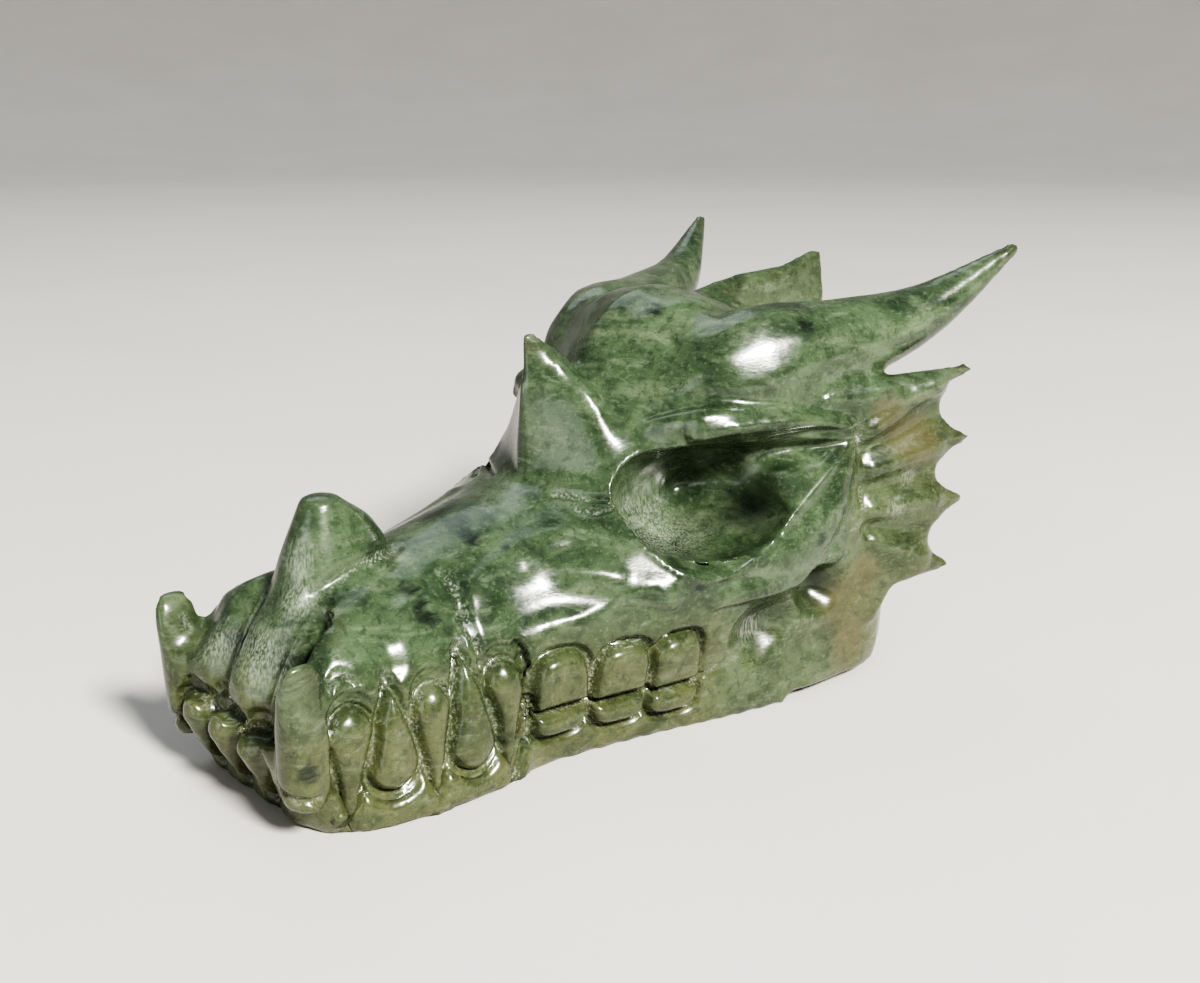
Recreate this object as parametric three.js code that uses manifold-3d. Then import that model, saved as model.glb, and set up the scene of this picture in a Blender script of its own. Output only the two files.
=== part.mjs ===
// A dragon's skull carved from one block of nephrite jade, polished, resting on its flat underside.
// Millimetres. The snout points along -X and the horns along +X, the carving's left side faces -Y, +Z is up,
// and the origin is under the middle of the carving, on the surface that it stands on.
import * as THREE from "three";
import { mergeVertices } from "three/addons/utils/BufferGeometryUtils.js";
import Module from "manifold-3d";

// Sections of the block, cut across its length at x. Each row gives x, the half width of the underside,
// then the half width and height of the jaw's wall (lip), of the widest line (cheek), of the crease under the
// dome (brow) and of the shoulder below the crown (dome), and last the height of the crown.
const SECTIONS = [
  [-60.5, 9, 12.8, 5, 14.8, 12.5, 13.4, 19.4, 6, 18, 17.2],
  [-57, 13.2, 15.2, 7, 16, 17, 13.4, 23.2, 6.2, 23.6, 23.2],
  [-53, 15.8, 16.6, 8.5, 17, 18.5, 12.6, 25.2, 6.2, 27.4, 27.8],
  [-46, 17.6, 18, 9, 17.4, 19.5, 12, 26.3, 5.8, 28.8, 29.4],
  [-34, 18.8, 18.8, 8, 18, 19.5, 11.8, 26.8, 5.6, 30, 30.8],
  [-23, 18.4, 18.6, 8.5, 20, 20.5, 12.5, 28.6, 6, 32.4, 33.6],
  [-12, 20.2, 20.2, 8.5, 24.2, 23.5, 15.2, 31.6, 7.5, 34.8, 36],
  [-5, 21.8, 21.8, 8.5, 27, 25, 17, 34.5, 9.5, 39.5, 44],
  [0, 23, 23, 8.5, 28, 25.3, 18.6, 38.4, 8.6, 45.8, 53],
  [5, 24.4, 24.4, 8.5, 28.6, 25.5, 20.8, 43, 10.8, 51.6, 58.8],
  [12, 26, 26, 9, 29.2, 25.5, 24.4, 45.6, 14.5, 56.6, 61.8],
  [20, 27.4, 27.2, 9, 29.6, 25.5, 26, 45.6, 15, 56.6, 61.2],
  [30, 27.5, 28, 10, 29.6, 26, 26.4, 44, 14, 53.6, 57.5],
  [39, 26, 28, 12, 28.6, 26, 23, 41.5, 12, 49, 52.4],
  [46, 17.5, 21.5, 14, 22.5, 27, 17, 37, 9, 43, 46],
  [50, 7, 11.5, 17, 12, 26, 9, 33, 5, 37, 38.5],
];
const BLOCK_RINGS = 28;
const BLOCK_SIDES = 24;
const BLOCK_CORE = 0.4; // the height of the ends' middle points, as a share of the crown's
const BELOW_FLOOR = 2; // the block is made this much too deep, and then cut flat
const WALL_STEPS = 400; // points tried when a place on the wall is looked for
const CHIN = { lean: 2.6, height: 12, share: 0.12 }; // the front of the jaw leans back below this height
const HEEL = { x: 17.5, rise: 1.2 }; // behind x the underside is relieved, so the carving stands ahead of it

// The two great horns: the middle line of the left one, with the radius at each point of it.
const HORN = [
  { at: [7, -8, 42.5], radius: 7.4 },
  { at: [18.4, -15.2, 50], radius: 9.2 },
  { at: [33, -21.4, 53.2], radius: 7.1 },
  { at: [47, -27, 57.2], radius: 4.5 },
  { at: [61.4, -34.4, 67.2], radius: 0.8 },
];

const HORN_RINGS = 14;
const HORN_SIDES = 12;

const NOSE_HORN = { x: -44.3, z: 24, tip: [-45.9, 39.7], length: 10, width: 7.2, blunt: 2.4, swell: 1.3 };
const NOSE_HORN_RINGS = 7;
const NOSE_HORN_SIDES = 12;

// Levels of the forehead's three-sided horn: a front edge on the middle plane, two rear edges that spread
// down to the brows, and a back that runs into the dome.
const BROW_HORN = [
  { z: 31, front: -11.5, side: [-3.6, 17], back: 10 },
  { z: 37, front: -12.5, side: [-4.0, 16.4], back: 8 },
  { z: 42, front: -12.3, side: [-4.2, 13.4], back: 6 },
  { z: 46.5, front: -12.0, side: [-4.2, 10.6], back: 4 },
  { z: 49.5, front: -11.8, side: [-5.0, 7], back: 1 },
  { z: 52, front: -11.5, side: [-6.4, 3.6], back: -2 },
  { z: 54.5, front: -11.3, side: [-8.0, 1.8], back: -5 },
  { z: 57.2, front: -11.1, side: [-10.4, 0.5], back: -9.8 },
];

// The crest along the top of the head: its outline in x and z, thick at its root and thin at its top.
const CREST = { thick: 4.6, edge: 0.9, thin: 0.34, root: 54, top: 65 };
const CREST_LINE = [[15, 44], [19, 58], [26, 60.4], [35, 61.8], [46, 62.4], [54.6, 64.9], [55, 56], [48, 44]];

const BROW_RIDGE = {
  line: [[0, -10, 44.6], [5, -19.4, 45], [17, -24.4, 44.7], [31, -28.4, 43.4]],
  tall: 2.6,
  deep: 2.6,
};
const CHEEK_ARCH = {
  line: [[-3, -24, 22.5], [6, -27.2, 22.6], [15, -28.6, 24.6], [25, -29, 30], [30.5, -28, 40.5]],
  tall: 4.2,
  deep: 1.9,
};
const BAND_END = 0.14; // the size of a band's ends, as a share of its middle

// The bony frill behind each cheek: a plate that flares outwards and thins towards its rear edge, which is
// scalloped between points. Places on the plate are given by how far they are behind its root, and by z.
const FRILL = { root: [29, -25.6], flare: 20, thick: 5.2, edge: 1, thin: 0.42, hollow: 11.5 };
const FRILL_TOP = [[0, 47.5], [12, 47]];
const FRILL_POINTS = [[23.2, 49], [23.2, 37.6], [23.2, 27.6], [21.6, 16.4]];
const FRILL_FOOT = [[11, 14.6], [8, 9], [0, 9]];
const FRILL_SPIKE = { line: [[27, -25, 45], [40, -30, 46.8], [51, -34, 49]], root: 3.8, tip: 0.7 };

const EYE = { at: [4.2, -23.8, 34.2], size: [13.6, 9.5, 8.9], turn: -27, tilt: 5 };
const EYE_CORNER = { line: [[8, -24, 37], [19, -27, 40], [30.5, -29.6, 42.3]], root: 5.6, tip: 0.7 };
const TEAR = { line: [[-20, -17, 34.4], [-5, -18.6, 33.8]], root: 0.4, tip: 2.0 };

const NOSTRIL = {
  line: [[-51, -5.9, 28.6], [-54.6, -5.9, 24.6], [-58.4, -5.4, 18.6], [-63, -4.9, 11.5]],
  wide: 1.7,
  deep: [1.9, 3.4],
};
const CHEEK_PITS = [
  { at: [14.5, -29.5, 13.6], size: [5.2, 4.6, 4.8] },
  { at: [22.5, -30.5, 17.6], size: [5.6, 5.2, 5.4] },
];

// Teeth of the left side, in x and z on the jaw's wall, each from its root to its tip.
const TUSK = {
  line: [[-59.2, -14.6, 5.5], [-59.4, -15.2, 16], [-60, -16.4, 25.4]],
  wide: 3.2,
  deep: 3.3,
  edge: 0.9,
  foot: 0.7,
  head: 0.6,
};
const FANGS = [
  { root: [-53.4, 17.4], tip: [-55, 1.8], wide: 3.7 },
  { root: [-42, 17.2], tip: [-42.2, 0.8], wide: 3.2 },
  { root: [-30.6, 17.2], tip: [-30.2, 0.8], wide: 3.0 },
  { root: [-48.4, 4.2], tip: [-47.8, 19.1], wide: 4.3 },
  { root: [-36.2, 3.2], tip: [-38.2, 21.3], wide: 4.6 },
];
const FANG_PROUD = 1.6;
const TOOTH = { root: 0.7, full: 1.18, tip: 0.6 }; // shares of the width at root and middle, and of the rise
const INCISORS = {
  across: [-9.8, -3.3, 3.3, 9.8],
  front: -60.4,
  wide: 2.8,
  proud: 1.9,
  root: 12.5,
  tip: 1.5,
};
const MOLARS = {
  edges: [-26.8, -17.4, -7.6, 1.6],
  gum: [17.4, 15],
  mouth: [9.5, 8],
  foot: [4.6, 2.8],
  gap: 0.4,
  proud: 1.3,
  square: 0.45,
};

const wasm = await Module();
wasm.setup();

const UP = new THREE.Vector3(0, 0, 1);
const LEFT = new THREE.Vector3(0, -1, 0);
const FRONT = new THREE.Vector3(-1, 0, 0);
const { lerp: mix, clamp, mapLinear, degToRad } = THREE.MathUtils;
const vector = (p) => new THREE.Vector3(...p);

// A closed geometry as a solid that can be joined and cut, with its faces turned outwards.
function solid(geometry) {
  const bare = new THREE.BufferGeometry();
  bare.setAttribute("position", geometry.getAttribute("position"));
  bare.setIndex(geometry.index);
  const merged = mergeVertices(bare, 1e-3);
  const vertProperties = merged.attributes.position.array;
  const make = (triVerts) => new wasm.Manifold(new wasm.Mesh({ numProp: 3, vertProperties, triVerts }));
  const corners = new Uint32Array(merged.index.array);
  const made = make(corners);
  return made.volume() < 0 ? make(corners.reverse()) : made;
}

// A closed tube. place(t, a, r) gives the point at share t of its length, at angle a round its section, and
// at share r of the way from the section's middle to its rim.
function tube(rings, sides, place) {
  const geometry = new THREE.CylinderGeometry(1, 1, 1, sides, rings);
  const points = geometry.getAttribute("position");
  const point = new THREE.Vector3();
  for (let i = 0; i < points.count; i++) {
    point.fromBufferAttribute(points, i);
    const rim = Math.min(1, Math.hypot(point.x, point.z));
    const moved = place(point.y + 0.5, Math.atan2(point.z, point.x), rim);
    points.setXYZ(i, moved.x, moved.y, moved.z);
  }
  return solid(geometry);
}

// A tube along a line, with an oval section: wide(t) is its half width, and tall(t) its half height, which
// points towards up.
function sweep(line, wide, tall, { rings = 8, sides = 12, up = UP } = {}) {
  const path = new THREE.CatmullRomCurve3(line.map(vector), false, "centripetal");
  return tube(rings, sides, (t, a, r) => {
    const along = path.getTangent(t);
    const side = new THREE.Vector3().crossVectors(along, up).normalize();
    const rise = new THREE.Vector3().crossVectors(side, along);
    const point = path.getPoint(t);
    point.addScaledVector(side, r * Math.cos(a) * wide(t));
    return point.addScaledVector(rise, r * Math.sin(a) * tall(t));
  });
}

function tapered({ line, root, tip }, shape) {
  const radius = (t) => mix(root, tip, t);
  return sweep(line, radius, radius, shape);
}

// An ellipsoid: tilt raises its rear end, and turn swings it about the upright, in degrees.
function ellipsoid({ at, size, tilt = 0, turn = 0 }, columns, rows) {
  const ball = new THREE.SphereGeometry(1, columns, rows).scale(...size).rotateY(degToRad(-tilt));
  return solid(ball.rotateZ(degToRad(turn)).translate(...at));
}

// A plate of a shape in x and z, set upright along the middle plane. Its edges are thinned, and share(x, z)
// is how much of its thickness it keeps at a place.
function plate(shape, { thick, edge }, share) {
  const body = { depth: thick - 2 * edge, steps: 1, curveSegments: 5 };
  const bevel = { bevelThickness: edge, bevelSize: edge, bevelOffset: -edge, bevelSegments: 1 };
  const geometry = new THREE.ExtrudeGeometry(shape, { ...body, ...bevel });
  geometry.translate(0, 0, edge - thick / 2);
  const points = geometry.getAttribute("position");
  for (let i = 0; i < points.count; i++) {
    points.setZ(i, points.getZ(i) * share(points.getX(i), points.getY(i)));
  }
  return geometry.rotateX(Math.PI / 2);
}

// A solid of the left side, with its copy on the right.
function both(made) {
  return [made, made.scale([1, -1, 1])];
}

// Rows of sizes blended smoothly along their first value.
function blended(rows) {
  const width = rows[0].length - 1;
  const values = rows.flatMap((row) => row.slice(1));
  const places = rows.map((row) => row[0]);
  const blend = new THREE.CubicInterpolant(places, values, width, new Float32Array(width));
  return (at) => [...blend.evaluate(at)];
}

const sizesAt = blended(SECTIONS);

// The outline of the block across x, from the middle of the underside round by the right side.
function outlineAt(x) {
  const [base, lipY, lipZ, cheekY, cheekZ, browY, browZ, domeY, domeZ, crown] = sizesAt(x);
  const half = [[base, -BELOW_FLOOR], [lipY, lipZ], [cheekY, cheekZ], [browY, browZ], [domeY, domeZ]];
  const other = half.map(([y, z]) => [-y, z]).reverse();
  const outline = [[0, -BELOW_FLOOR], ...half, [0, crown], ...other];
  const points = outline.map(([y, z]) => new THREE.Vector3(x, y, z));
  return new THREE.CatmullRomCurve3(points, true, "centripetal");
}

// The point of the block's left wall at x and z.
function wallAt(x, z) {
  const outline = outlineAt(x);
  let best = outline.getPoint(0.5);
  for (let i = WALL_STEPS / 2; i < WALL_STEPS; i++) {
    const point = outline.getPoint(i / WALL_STEPS);
    const nearer = Math.abs(point.z - z) < Math.abs(best.z - z);
    if (nearer) best = point;
  }
  return best.toArray();
}

function block() {
  const first = SECTIONS[0][0];
  const last = SECTIONS.at(-1)[0];
  const outlines = new Map();
  return tube(BLOCK_RINGS, BLOCK_SIDES, (t, a, r) => {
    const x = mix(first, last, t);
    if (!outlines.has(x)) outlines.set(x, outlineAt(x));
    const rim = outlines.get(x).getPoint((a / (2 * Math.PI) + 1) % 1);
    const point = new THREE.Vector3(x, 0, BLOCK_CORE * sizesAt(x).at(-1)).lerp(rim, r);
    const low = Math.max(0, 1 - point.z / CHIN.height);
    point.x += CHIN.lean * low * Math.max(0, 1 - t / CHIN.share);
    return point;
  });
}

function horn() {
  const last = HORN.length - 1;
  const radiusAt = blended(HORN.map(({ radius }, i) => [i / last, radius]));
  const radius = (t) => radiusAt(t)[0];
  return sweep(HORN.map(({ at }) => at), radius, radius, { rings: HORN_RINGS, sides: HORN_SIDES });
}

function noseHorn() {
  const { x, z, tip, length, width, blunt, swell } = NOSE_HORN;
  return tube(NOSE_HORN_RINGS, NOSE_HORN_SIDES, (t, a, r) => {
    const slim = 1 - t ** swell;
    const along = mix(blunt, length, slim) * Math.cos(a) * r;
    const across = mix(blunt, width, slim) * Math.sin(a) * r;
    return new THREE.Vector3(mix(x, tip[0], t) + along, across, mix(z, tip[1], t));
  });
}

function browHorn() {
  const first = BROW_HORN[0].z;
  const last = BROW_HORN.at(-1).z;
  const levelAt = blended(BROW_HORN.map(({ z, front, side, back }) => [z, front, ...side, back]));
  return tube(BROW_HORN.length, 4, (t, a, r) => {
    const z = mix(first, last, t);
    const [front, sideX, sideY, back] = levelAt(z);
    const turn = (2 * Math.abs(a)) / Math.PI; // 0 at the back, 1 at the rear edge, 2 at the front edge
    const x = turn < 1 ? mix(back, sideX, turn) : mix(sideX, front, turn - 1);
    const y = turn < 1 ? sideY * turn : sideY * (2 - turn);
    return new THREE.Vector3(mix(sideX, x, r), Math.sign(a) * y * r, z);
  });
}

function crest() {
  const { thin, root, top } = CREST;
  const shape = new THREE.Shape(CREST_LINE.map((point) => new THREE.Vector2(...point)));
  return solid(plate(shape, CREST, (x, z) => mapLinear(clamp(z, root, top), root, top, 1, thin)));
}

function frill() {
  const { root, flare, thin, hollow } = FRILL;
  const shape = new THREE.Shape([...FRILL_TOP, FRILL_POINTS[0]].map((point) => new THREE.Vector2(...point)));
  FRILL_POINTS.slice(1).forEach((point, i) => {
    shape.quadraticCurveTo(hollow, (point[1] + FRILL_POINTS[i][1]) / 2, ...point);
  });
  FRILL_FOOT.forEach((point) => shape.lineTo(...point));
  const reach = FRILL_POINTS[0][0];
  const leaf = plate(shape, FRILL, (x) => mix(1, thin, x / reach)).rotateZ(degToRad(-flare));
  return solid(leaf.translate(root[0], root[1], 0));
}

// A raised band with round ends along a line.
function band({ line, tall, deep }) {
  const round = (t) => Math.max(BAND_END, Math.sqrt(Math.max(0, 1 - (2 * t - 1) ** 2)));
  return sweep(line, (t) => deep * round(t), (t) => tall * round(t), { rings: 9, sides: 8 });
}

function nostril() {
  const { line, wide, deep } = NOSTRIL;
  return sweep(line, () => wide, (t) => mix(...deep, t), { sides: 8 });
}

// A pointed tooth, half buried in the jaw: round at its root, and then drawn straight to its tip.
function tooth(root, tip, wide, proud, up) {
  const width = (t) => wide * Math.min(TOOTH.root + 2 * t, TOOTH.full - t);
  return sweep([root, tip], width, (t) => proud * mix(1, TOOTH.tip, t), { rings: 5, sides: 8, up });
}

// The column at the jaw's front corner, thinned towards the edge that stands above the lip.
function tusk() {
  const { line, wide, deep, edge, foot, head } = TUSK;
  const width = (t) => wide * Math.min(foot + 2 * t, 1, head + 4 * (1 - t));
  const depth = (t) => mix(deep, edge, Math.max(0, 2 * t - 1));
  return sweep(line, width, depth, { rings: 8, sides: 10, up: LEFT });
}

function sideTeeth() {
  const fangs = FANGS.map(({ root, tip, wide }) => {
    return tooth(wallAt(...root), wallAt(...tip), wide, FANG_PROUD, LEFT);
  });
  return [tusk(), ...fangs, ...molars()];
}

// Cheek teeth in two rows, as soft-cornered blocks on the wall above and below the mouth's line.
function molars() {
  const { edges, gum, mouth, foot, gap, proud } = MOLARS;
  return edges.slice(1).flatMap((end, i) => {
    const start = edges[i];
    const share = i / (edges.length - 2);
    const levels = [foot, mouth, gum].map(([first, last]) => mix(first, last, share));
    return [0, 1].map((row) => {
      const x = (start + end) / 2;
      const z = (levels[row] + levels[row + 1]) / 2;
      const size = [(end - start - gap) / 2, proud, (levels[row + 1] - levels[row] - gap) / 2];
      return pillow(wallAt(x, z), size);
    });
  });
}

function pillow(at, size) {
  const ball = new THREE.SphereGeometry(1, 8, 6);
  const points = ball.getAttribute("position");
  const squared = (v) => Math.sign(v) * Math.abs(v) ** MOLARS.square;
  for (let i = 0; i < points.count; i++) {
    const [x, y, z] = [points.getX(i), points.getY(i), points.getZ(i)].map(squared);
    points.setXYZ(i, x, y, z);
  }
  return solid(ball.scale(...size).translate(...at));
}

function incisors() {
  const { across, front, wide, proud, root, tip } = INCISORS;
  return across.map((y) => tooth([front, y, root], [front + CHIN.lean, y, tip], wide, proud, FRONT));
}

function carve() {
  const added = [
    block(),
    ...both(horn()),
    noseHorn(),
    browHorn(),
    crest(),
    ...both(band(BROW_RIDGE)),
    ...both(band(CHEEK_ARCH)),
    ...both(frill()),
    ...both(tapered(FRILL_SPIKE, { rings: 5, sides: 10 })),
    ...sideTeeth().flatMap(both),
    ...incisors(),
  ];
  const far = 200;
  const floor = solid(new THREE.BoxGeometry(far, far, far).translate(0, 0, -far / 2));
  const heelBox = new THREE.BoxGeometry(far, far, far);
  const heel = solid(heelBox.translate(HEEL.x + far / 2, 0, HEEL.rise - far / 2));
  const cut = [
    floor,
    heel,
    ...both(ellipsoid(EYE, 16, 12)),
    ...both(tapered(EYE_CORNER, { rings: 6, sides: 10 })),
    ...both(tapered(TEAR, { rings: 4, sides: 8 })),
    ...both(nostril()),
    ...CHEEK_PITS.flatMap((pit) => both(ellipsoid(pit, 12, 8))),
  ];
  const whole = added.reduce((sum, piece) => sum.add(piece));
  return cut.reduce((left, piece) => left.subtract(piece), whole);
}

// The carving as a mesh, with the middle of its length over the origin.
function geometryOf(made) {
  const { vertProperties, triVerts } = made.getMesh();
  const geometry = new THREE.BufferGeometry();
  geometry.setAttribute("position", new THREE.BufferAttribute(new Float32Array(vertProperties), 3));
  geometry.setIndex(new THREE.BufferAttribute(new Uint32Array(triVerts), 1));
  geometry.computeBoundingBox();
  const { min, max } = geometry.boundingBox;
  return geometry.translate(-(min.x + max.x) / 2, 0, 0);
}

const jade = new THREE.MeshStandardMaterial({ color: 0x4d6b43, roughness: 0.22, metalness: 0 });
const skull = new THREE.Mesh(geometryOf(carve()), jade);
skull.name = "dragon_skull";

const carving = new THREE.Group();
carving.add(skull);
export default carving;
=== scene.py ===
import math

import bmesh
import bpy
import numpy as np
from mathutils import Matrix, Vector
from mathutils.bvhtree import BVHTree


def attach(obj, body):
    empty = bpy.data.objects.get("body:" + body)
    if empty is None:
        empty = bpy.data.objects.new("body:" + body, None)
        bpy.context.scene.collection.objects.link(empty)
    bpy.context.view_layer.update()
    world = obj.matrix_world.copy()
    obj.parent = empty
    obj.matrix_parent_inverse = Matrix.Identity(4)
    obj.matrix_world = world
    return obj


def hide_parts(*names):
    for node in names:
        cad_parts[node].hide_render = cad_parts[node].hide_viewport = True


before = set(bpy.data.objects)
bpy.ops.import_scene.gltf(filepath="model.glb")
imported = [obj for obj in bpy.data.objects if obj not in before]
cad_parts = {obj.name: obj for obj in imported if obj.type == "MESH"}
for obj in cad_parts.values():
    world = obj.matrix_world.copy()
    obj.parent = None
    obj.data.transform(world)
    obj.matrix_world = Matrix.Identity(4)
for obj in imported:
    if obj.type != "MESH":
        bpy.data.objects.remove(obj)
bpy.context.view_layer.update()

# The camera stands ahead of the carving's left cheek and a little above it. The snout comes forward, and the
# whole of the left side shows behind it.
CAMERA_AT = (-0.1367, -0.1553, 0.0908)
CAMERA_TURN = math.radians(-42.23)
CAMERA_DROP = math.radians(16.0)
LENS = 42.0
NEAREST_SEEN = 0.01

camera = bpy.data.objects.new("camera", bpy.data.cameras.new("camera"))
bpy.context.scene.collection.objects.link(camera)
bpy.context.scene.camera = camera
camera.data.lens = LENS
camera.data.clip_start = NEAREST_SEEN
camera.location = CAMERA_AT
camera.rotation_euler = (math.pi / 2 - CAMERA_DROP, 0.0, CAMERA_TURN)

# The block: one piece of nephrite, sawn and ground to the main forms of a skull. The solid gives those forms,
# and a fine even skin over them is what the later sections grind, cut and polish.
MM = 0.001
SAME_PLACE = 0.001 * MM
SKIN = 0.80 * MM

blank = bmesh.new()
blank.from_mesh(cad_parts["dragon_skull"].data)
bmesh.ops.remove_doubles(blank, verts=blank.verts, dist=SAME_PLACE)
forms = bpy.data.meshes.new("forms")
blank.to_mesh(forms)
blank.free()

skull = bpy.data.objects.new("jade_skull", forms)
bpy.context.scene.collection.objects.link(skull)
skin = skull.modifiers.new("skin", "REMESH")
skin.mode = "VOXEL"
skin.voxel_size = SKIN
stone = bpy.data.meshes.new_from_object(skull.evaluated_get(bpy.context.evaluated_depsgraph_get()))
skull.modifiers.clear()
skull.data = stone

# The grinding: soft wheels take the saw's flats out of the stone and run the horns, crest and brow into the
# head in hollow curves. Each round of a wheel draws the skin towards its neighbours. From here on, sizes are
# in millimetres, with x from snout to back, y across and z up.
WHEEL = 0.5
WHEEL_BACK = -0.53
FLATS_ROUNDS = 26
SHARP_KEPT = 0.7
SHARP_PLACES = (  # middle and reach: two pits, back of the eye, nostril, front of the eye, corner of the jaw
    ((10.0, -27.0, 14.0), 5.0),
    ((25.5, -26.0, 16.0), 5.0),
    ((19.0, -26.0, 36.0), 9.0),
    ((-55.0, -6.0, 20.0), 9.0),
    ((4.0, -22.0, 33.5), 16.0),
    ((35.0, -29.5, 6.0), 9.0),
)
RUN_OUT_PLACES = (  # middle, reach and rounds where one form runs into the next with no edge at all
    ((-4.0, -10.5, 41.0), 9.0, 110),
    ((-2.0, -13.5, 38.5), 6.0, 60),
    ((-9.0, -6.0, 37.0), 7.0, 40),
    ((1.0, -13.0, 45.0), 5.0, 40),
    ((3.5, -17.5, 45.5), 5.0, 60),
    ((8.0, -22.0, 45.5), 4.5, 30),
    ((15.0, -25.5, 45.5), 4.5, 14),
    ((12.0, -24.5, 46.0), 4.5, 40),
    ((22.0, -27.5, 45.5), 4.5, 40),
    ((27.0, -28.0, 46.5), 5.0, 70),
    ((31.0, -29.5, 45.0), 4.5, 25),
)
HOLLOW_ROUNDS = 70
HOLLOW_LEAST = 0.022
HOLLOW_STOUT = 0.6
THIN = 6.5
THIN_LEAST = 2.0
THIN_SHARE = 0.12
JUST_INSIDE = 0.05


def places():
    at = np.empty(3 * len(stone.vertices), np.float32)
    stone.vertices.foreach_get("co", at)
    return at.reshape(-1, 3).astype(float) / MM


def outward():
    out = np.empty(3 * len(stone.vertices), np.float32)
    stone.vertex_normals.foreach_get("vector", out)
    return out.reshape(-1, 3).astype(float)


def put(at):
    stone.vertices.foreach_set("co", (at * MM).astype(np.float32).ravel())
    stone.update()


def edge_ends():
    ends = np.empty(2 * len(stone.edges), np.int32)
    stone.edges.foreach_get("vertices", ends)
    return ends.reshape(-1, 2).T


def pull(at):
    """From each place to the middle of its neighbours."""
    one, other = neighbours
    many = np.bincount(neighbours.ravel(), minlength=len(at))
    total = [np.bincount(one, axis[other], len(at)) + np.bincount(other, axis[one], len(at)) for axis in at.T]
    return np.array(total).T / many[:, None] - at


def grind(at, share, rounds):
    """Wears forms down where share is more than 0."""
    for _ in range(rounds):
        at = at + WHEEL * share[:, None] * pull(at)
    return at


def take_flats(at, share, rounds):
    """Evens the skin out and keeps its size."""
    for _ in range(rounds):
        for wheel in (WHEEL, WHEEL_BACK):
            at = at + wheel * share[:, None] * pull(at)
    return at


def hollow_curves(at, share, rounds):
    """Fills sharp inner corners to a hollow curve, and leaves outer edges as they are."""
    for _ in range(rounds):
        put(at)
        out = outward()
        cornered = (pull(at) * out).sum(1) - HOLLOW_LEAST
        at = at + out * (WHEEL * share * np.maximum(cornered, 0))[:, None]
    return at


def left_side(at):
    """Both sides of the skull laid on its left side, where the work is drawn."""
    return at * (1, 0, 1) - np.abs(at) * (0, 1, 0)


def soft(gone):
    """1 where gone is 0, falling smoothly to 0 where it is 1."""
    share = np.clip(1 - gone, 0, 1)
    return share * share * (3 - 2 * share)


def within(at, middle, reach):
    """1 at the middle, falling smoothly to 0 at reach, on both sides of the skull."""
    return soft(np.linalg.norm(left_side(at) - middle, axis=1) / reach)


def well_within(at, middle, reach):
    """1 out to half the reach, falling to 0 at the whole of it, on both sides of the skull."""
    return np.clip(2 * within(at, middle, reach), 0, 1)


def surface_of(mesh):
    copy = bmesh.new()
    copy.from_mesh(mesh)
    surface = BVHTree.FromBMesh(copy)
    copy.free()
    return surface


def thickness(at, out, surface, most):
    """How much stone lies behind each place, up to most."""
    depth = np.full(len(at), float(most))
    for i, (place, way) in enumerate(zip(at, out)):
        start = Vector((place - JUST_INSIDE * way) * MM)
        *_, through = surface.ray_cast(start, Vector(-way), most * MM)
        if through is not None:
            depth[i] = through / MM
    return depth


at = places()
neighbours = edge_ends()
stout = (thickness(at, outward(), surface_of(stone), THIN) - THIN_LEAST) / (THIN - THIN_LEAST)
stout = np.clip(stout, THIN_SHARE, 1)
sharp = np.clip(sum(well_within(at, middle, reach) for middle, reach in SHARP_PLACES), 0, 1)
at = take_flats(at, stout * (1 - SHARP_KEPT * sharp), FLATS_ROUNDS)
for middle, reach, rounds in RUN_OUT_PLACES:
    at = grind(at, within(at, middle, reach), rounds)
at = hollow_curves(at, (1 - sharp) * (stout > HOLLOW_STOUT), HOLLOW_ROUNDS)

# Pits: two round hollows low on each side, behind the rows of teeth, sunk with a ball burr and smoothed. Each
# row gives a pit's middle along the jaw and in height, its reach and its depth.
PITS = (
    ((12.0, 13.2), 6.5, 3.6),
    ((25.5, 17.0), 5.0, 3.0),
)
PIT_OUTSIDE = 17.0
PIT_ROUNDS = 30

for middle, reach, depth in PITS:
    pit = soft(np.linalg.norm(at[:, (0, 2)] - middle, axis=1) / reach) * (np.abs(at[:, 1]) > PIT_OUTSIDE)
    at[:, 1] -= np.sign(at[:, 1]) * depth * pit
    at = grind(at, pit, PIT_ROUNDS)

# Back horns: the two long horns grow out of the head in the same stone. The root of each is ground to a broad
# flat, which catches the light once it is polished.
HORN_FLAT_AT = (15.4, -22.3, 54.5)
HORN_FLAT_FACING = (-0.47, -0.77, 0.43)
HORN_FLAT_REACH = 13.0
HORN_FLAT_SHARE = 0.75
HORN_FLAT_ROUNDS = 4

facing = np.array(HORN_FLAT_FACING)
proud = (left_side(at) - HORN_FLAT_AT) @ facing
proud = proud * HORN_FLAT_SHARE * within(at, HORN_FLAT_AT, HORN_FLAT_REACH)
at = at - proud[:, None] * facing * np.where(at[:, 1:2] > 0, (1, -1, 1), 1)
at = take_flats(at, stout, HORN_FLAT_ROUNDS)

# Nose horn: a blunt upright horn on the snout. Its rear slope is left broad towards the foot and is ground
# to run out on the bridge of the nose.
NOSE_AXIS = -46.0
NOSE_TOP = 39.2
NOSE_RUN = 3.0
NOSE_BACK = (-43.0, -1.5, 34.5)
NOSE_REACH = 9.0
NOSE_SPREAD = 0.42
NOSE_FOOT = (-38.0, -2.0, 32.0)
NOSE_FOOT_REACH = 6.0
NOSE_FOOT_ROUNDS = 40


def rise(value, start, run):
    """0 up to start and 1 from a run further on. A run below 0 goes the other way."""
    return np.clip((value - start) / run, 0, 1)


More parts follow.
